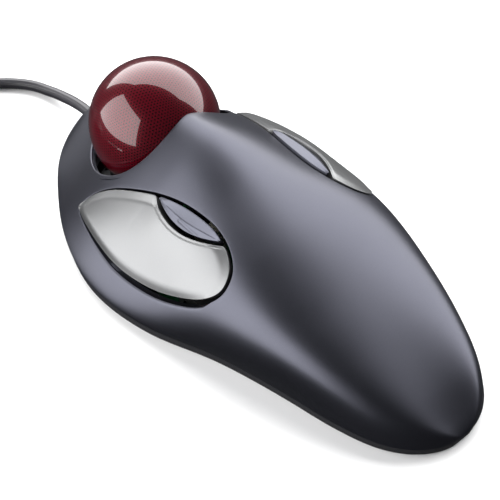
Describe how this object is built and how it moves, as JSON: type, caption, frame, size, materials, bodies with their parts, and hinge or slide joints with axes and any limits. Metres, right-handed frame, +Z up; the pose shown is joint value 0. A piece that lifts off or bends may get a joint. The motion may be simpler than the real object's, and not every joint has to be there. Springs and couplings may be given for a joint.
{
  "type": "trackball mouse",
  "caption": "Low symmetric trackball mouse: loose ball at the nose end, silver main keys and small keys on both flanks, long palm rest, cable with plug.",
  "frame": {"origin": "on the desk, under the middle of the casing's length and width", "axes": "+Y from the palm end to the nose and the ball, +X to the user's right, +Z up"},
  "size_m": [0.137, 0.2285, 0.0435],
  "materials": {
    "shell_paint": "satin metallic paint over moulded plastic",
    "base_plastic": "fine moulded texture",
    "main_key": "satin silver paint",
    "small_key": "satin blue-grey paint",
    "socket_plastic": "matt black",
    "bearing": "polished",
    "ball_resin": "dark red cast resin",
    "ball_coat": "polished deep red resin with a fine dark dot pattern under it",
    "circuit_board": "green solder mask",
    "inner_plastic": "matt black",
    "chip_black": "moulded epoxy",
    "lens_plastic": "clear lens",
    "led_epoxy": "smoked epoxy",
    "tin_plate": "satin can",
    "capacitor_sleeve": "shrink sleeve",
    "ceramic": "ceramic",
    "gold_contact": "gold plated",
    "connector_nylon": "natural nylon",
    "switch_body": "moulded",
    "switch_plunger": "moulded",
    "small_plunger": "moulded",
    "screw_steel": "zinc plated",
    "foot_rubber": "matt",
    "label_film": "blank silver film",
    "wire_sleeve": "soft sleeve",
    "grommet_rubber": "matt",
    "cable_jacket": "satin jacket with fine ribs along it",
    "tie_plastic": "moulded",
    "plug_overmould": "fine texture",
    "plug_steel": "nickel plated",
    "plug_insulator": "moulded white"
  },
  "bodies": {
    "casing": {"top_shell": "shell_paint", "base_plate": "base_plastic", "ball_socket": "socket_plastic", "support_bearings": "bearing", "main_board": "circuit_board", "sensor_board": "circuit_board", "sensor_bracket": "inner_plastic", "optical_sensor": "chip_black", "sensor_lens": "lens_plastic", "infrared_leds": "led_epoxy", "controller_chip": "chip_black", "crystal": "tin_plate", "reservoir_capacitor": "capacitor_sleeve", "ceramic_capacitors": "ceramic", "board_link_pins": "gold_contact", "cable_header": "connector_nylon", "cable_connector": "connector_nylon", "left_main_switch": "switch_body", "right_main_switch": "switch_body", "left_small_switch": "switch_body", "right_small_switch": "switch_body", "case_screws": "screw_steel", "board_screws": "screw_steel", "socket_screws": "screw_steel", "rubber_feet": "foot_rubber", "rating_label": "label_film", "inner_cable": "wire_sleeve", "cable_grommet": "grommet_rubber", "cable": "cable_jacket", "cable_coil": "cable_jacket", "cable_tie": "tie_plastic", "cable_tail": "cable_jacket", "plug_body": "plug_overmould", "plug_shell": "plug_steel", "plug_tongue": "plug_insulator", "plug_contacts": "gold_contact"},
    "left_main_key": {"left_main_button": "main_key"},
    "right_main_key": {"right_main_button": "main_key"},
    "left_small_key": {"left_small_button": "small_key"},
    "right_small_key": {"right_small_button": "small_key"},
    "left_main_plunger_body": {"left_main_plunger": "switch_plunger"},
    "right_main_plunger_body": {"right_main_plunger": "switch_plunger"},
    "left_small_plunger_body": {"left_small_plunger": "small_plunger"},
    "right_small_plunger_body": {"right_small_plunger": "small_plunger"},
    "ball_lift": {"ball_core": "ball_resin"},
    "ball_turn_z": {"ball_filler_layer": "ball_resin"},
    "ball_turn_x": {"ball_dot_layer": "ball_resin"},
    "ball_turn_y": {"ball_clear_coat": "ball_coat"}
  },
  "joints": [
    {"name": "right_main_press", "type": "hinge", "parent": "casing", "child": "right_main_key", "pos_m": [0.0282, 0.04, 0.0072], "axis": [0.7826, 0, -0.6225], "range_deg": [0, 0.9], "stiffness_Nm_per_rad": 2, "springref_deg": -0.23},
    {"name": "right_main_plunger_slide", "type": "slide", "parent": "casing", "child": "right_main_plunger_body", "axis": [0, 0, -1], "range_m": [0, 0.0007]},
    {"name": "right_small_press", "type": "slide", "parent": "casing", "child": "right_small_key", "axis": [-0.5593, 0, -0.829], "range_m": [0, 0.0006], "stiffness_N_per_m": 900, "springref_m": -0.0002},
    {"name": "right_small_plunger_slide", "type": "slide", "parent": "casing", "child": "right_small_plunger_body", "axis": [0, 0, -1], "range_m": [0, 0.0006]},
    {"name": "left_main_press", "type": "hinge", "parent": "casing", "child": "left_main_key", "pos_m": [-0.0282, 0.04, 0.0072], "axis": [0.7826, 0, 0.6225], "range_deg": [0, 0.9], "stiffness_Nm_per_rad": 2, "springref_deg": -0.23},
    {"name": "left_main_plunger_slide", "type": "slide", "parent": "casing", "child": "left_main_plunger_body", "axis": [0, 0, -1], "range_m": [0, 0.0007]},
    {"name": "left_small_press", "type": "slide", "parent": "casing", "child": "left_small_key", "axis": [0.5593, 0, -0.829], "range_m": [0, 0.0006], "stiffness_N_per_m": 900, "springref_m": -0.0002},
    {"name": "left_small_plunger_slide", "type": "slide", "parent": "casing", "child": "left_small_plunger_body", "axis": [0, 0, -1], "range_m": [0, 0.0006]},
    {"name": "ball_lift_out", "type": "slide", "parent": "casing", "child": "ball_lift", "axis": [0, 0.5299, 0.848], "range_m": [0, 0.046]},
    {"name": "ball_twist", "type": "hinge", "parent": "ball_lift", "child": "ball_turn_z", "pos_m": [0, 0.0467, 0.0235], "axis": [0, 0, 1], "continuous": true},
    {"name": "ball_roll_forward", "type": "hinge", "parent": "ball_turn_z", "child": "ball_turn_x", "pos_m": [0, 0.0467, 0.0235], "axis": [1, 0, 0], "continuous": true},
    {"name": "ball_roll_sideways", "type": "hinge", "parent": "ball_turn_x", "child": "ball_turn_y", "pos_m": [0, 0.0467, 0.0235], "axis": [0, 1, 0], "continuous": true}
  ],
  "couplings": [
    {"joint": "right_main_plunger_slide", "follows": "right_main_press", "m_per_rad": 0.037565},
    {"joint": "right_small_plunger_slide", "follows": "right_small_press", "ratio": 0.82896},
    {"joint": "left_main_plunger_slide", "follows": "left_main_press", "m_per_rad": 0.037565},
    {"joint": "left_small_plunger_slide", "follows": "left_small_press", "ratio": 0.82896}
  ]
}
